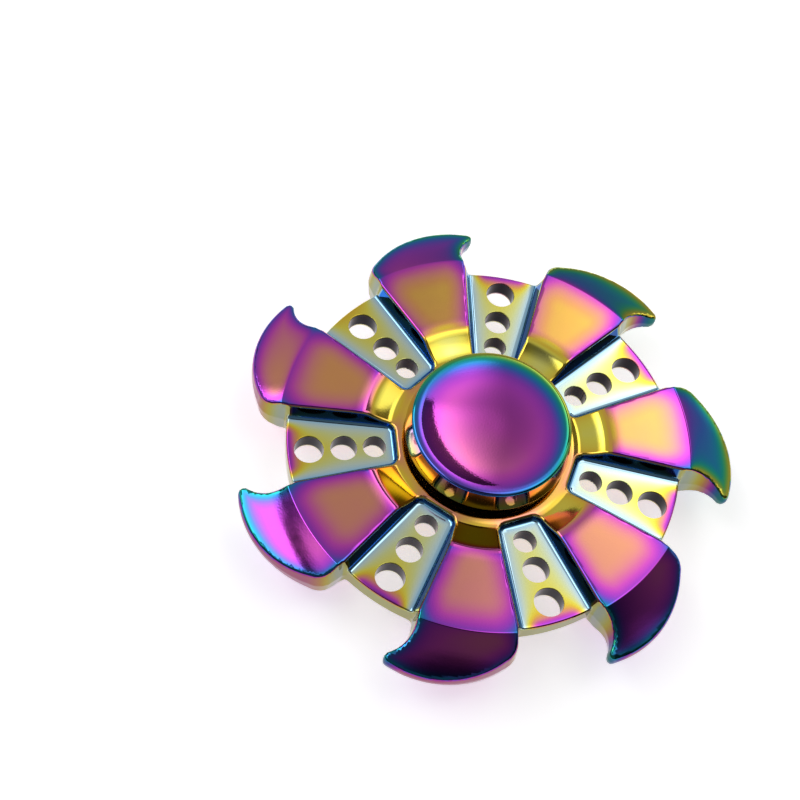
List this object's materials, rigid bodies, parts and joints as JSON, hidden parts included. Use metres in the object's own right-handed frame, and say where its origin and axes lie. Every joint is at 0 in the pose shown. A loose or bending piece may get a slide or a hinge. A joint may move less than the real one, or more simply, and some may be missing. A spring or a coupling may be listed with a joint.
{
  "type": "fidget spinner",
  "caption": "Bladed metal fidget spinner: a hooked, pocketed wheel turning on a small ball bearing between two dished finger caps that screw together.",
  "frame": {"origin": "centre of the ball bearing: on the spin axis, on the wheel's middle plane", "axes": "+Z along the spin axis, out of the front cap (the side seen from above); +Y along the middle line of one pocket, with its row of three holes; +X to the right seen from +Z"},
  "size_m": [0.0626, 0.0631, 0.0136],
  "materials": {
    "rainbow_plate": "polished zinc casting with an oil-slick interference plating that runs from gold through magenta to blue and green",
    "cap_plate": "mirror-polished, the same interference plating, magenta in the dish and blue to green on the rim",
    "bearing_steel": "ground bearing steel",
    "ball_steel": "polished bearing balls",
    "shield_steel": "stamped shields and spring-steel snap rings",
    "cage_brass": "stamped crown cage"
  },
  "bodies": {
    "caps": {"front_cap": "cap_plate", "rear_cap": "cap_plate", "bearing_inner_race": "bearing_steel"},
    "wheel": {"spinner_body": "rainbow_plate", "bearing_outer_race": "bearing_steel", "front_shield": "shield_steel", "rear_shield": "shield_steel", "front_snap_ring": "shield_steel", "rear_snap_ring": "shield_steel"},
    "cage": {"bearing_cage": "cage_brass"},
    "ball_01": {"bearing_ball_01": "ball_steel"},
    "ball_02": {"bearing_ball_02": "ball_steel"},
    "ball_03": {"bearing_ball_03": "ball_steel"},
    "ball_04": {"bearing_ball_04": "ball_steel"},
    "ball_05": {"bearing_ball_05": "ball_steel"},
    "ball_06": {"bearing_ball_06": "ball_steel"},
    "ball_07": {"bearing_ball_07": "ball_steel"},
    "ball_08": {"bearing_ball_08": "ball_steel"},
    "ball_09": {"bearing_ball_09": "ball_steel"},
    "ball_10": {"bearing_ball_10": "ball_steel"}
  },
  "joints": [
    {"name": "wheel_spin", "type": "hinge", "parent": "caps", "child": "wheel", "pos_m": [0, 0, 0], "axis": [0, 0, 1], "continuous": true},
    {"name": "cage_orbit", "type": "hinge", "parent": "caps", "child": "cage", "pos_m": [0, 0, 0], "axis": [0, 0, 1], "continuous": true},
    {"name": "ball_roll_01", "type": "hinge", "parent": "cage", "child": "ball_01", "pos_m": [0.00476, 0, 0], "axis": [0, 0, 1], "continuous": true},
    {"name": "ball_roll_02", "type": "hinge", "parent": "cage", "child": "ball_02", "pos_m": [0.00385, 0.0028, 0], "axis": [0, 0, 1], "continuous": true},
    {"name": "ball_roll_03", "type": "hinge", "parent": "cage", "child": "ball_03", "pos_m": [0.00147, 0.00453, 0], "axis": [0, 0, 1], "continuous": true},
    {"name": "ball_roll_04", "type": "hinge", "parent": "cage", "child": "ball_04", "pos_m": [-0.00147, 0.00453, 0], "axis": [0, 0, 1], "continuous": true},
    {"name": "ball_roll_05", "type": "hinge", "parent": "cage", "child": "ball_05", "pos_m": [-0.00385, 0.0028, 0], "axis": [0, 0, 1], "continuous": true},
    {"name": "ball_roll_06", "type": "hinge", "parent": "cage", "child": "ball_06", "pos_m": [-0.00476, 0, 0], "axis": [0, 0, 1], "continuous": true},
    {"name": "ball_roll_07", "type": "hinge", "parent": "cage", "child": "ball_07", "pos_m": [-0.00385, -0.0028, 0], "axis": [0, 0, 1], "continuous": true},
    {"name": "ball_roll_08", "type": "hinge", "parent": "cage", "child": "ball_08", "pos_m": [-0.00147, -0.00453, 0], "axis": [0, 0, 1], "continuous": true},
    {"name": "ball_roll_09", "type": "hinge", "parent": "cage", "child": "ball_09", "pos_m": [0.00147, -0.00453, 0], "axis": [0, 0, 1], "continuous": true},
    {"name": "ball_roll_10", "type": "hinge", "parent": "cage", "child": "ball_10", "pos_m": [0.00385, -0.0028, 0], "axis": [0, 0, 1], "continuous": true}
  ],
  "couplings": [
    {"joint": "cage_orbit", "follows": "wheel_spin", "ratio": 0.5834},
    {"joint": "ball_roll_01", "follows": "wheel_spin", "ratio": 2.9157},
    {"joint": "ball_roll_02", "follows": "wheel_spin", "ratio": 2.9157},
    {"joint": "ball_roll_03", "follows": "wheel_spin", "ratio": 2.9157},
    {"joint": "ball_roll_04", "follows": "wheel_spin", "ratio": 2.9157},
    {"joint": "ball_roll_05", "follows": "wheel_spin", "ratio": 2.9157},
    {"joint": "ball_roll_06", "follows": "wheel_spin", "ratio": 2.9157},
    {"joint": "ball_roll_07", "follows": "wheel_spin", "ratio": 2.9157},
    {"joint": "ball_roll_08", "follows": "wheel_spin", "ratio": 2.9157},
    {"joint": "ball_roll_09", "follows": "wheel_spin", "ratio": 2.9157},
    {"joint": "ball_roll_10", "follows": "wheel_spin", "ratio": 2.9157}
  ]
}
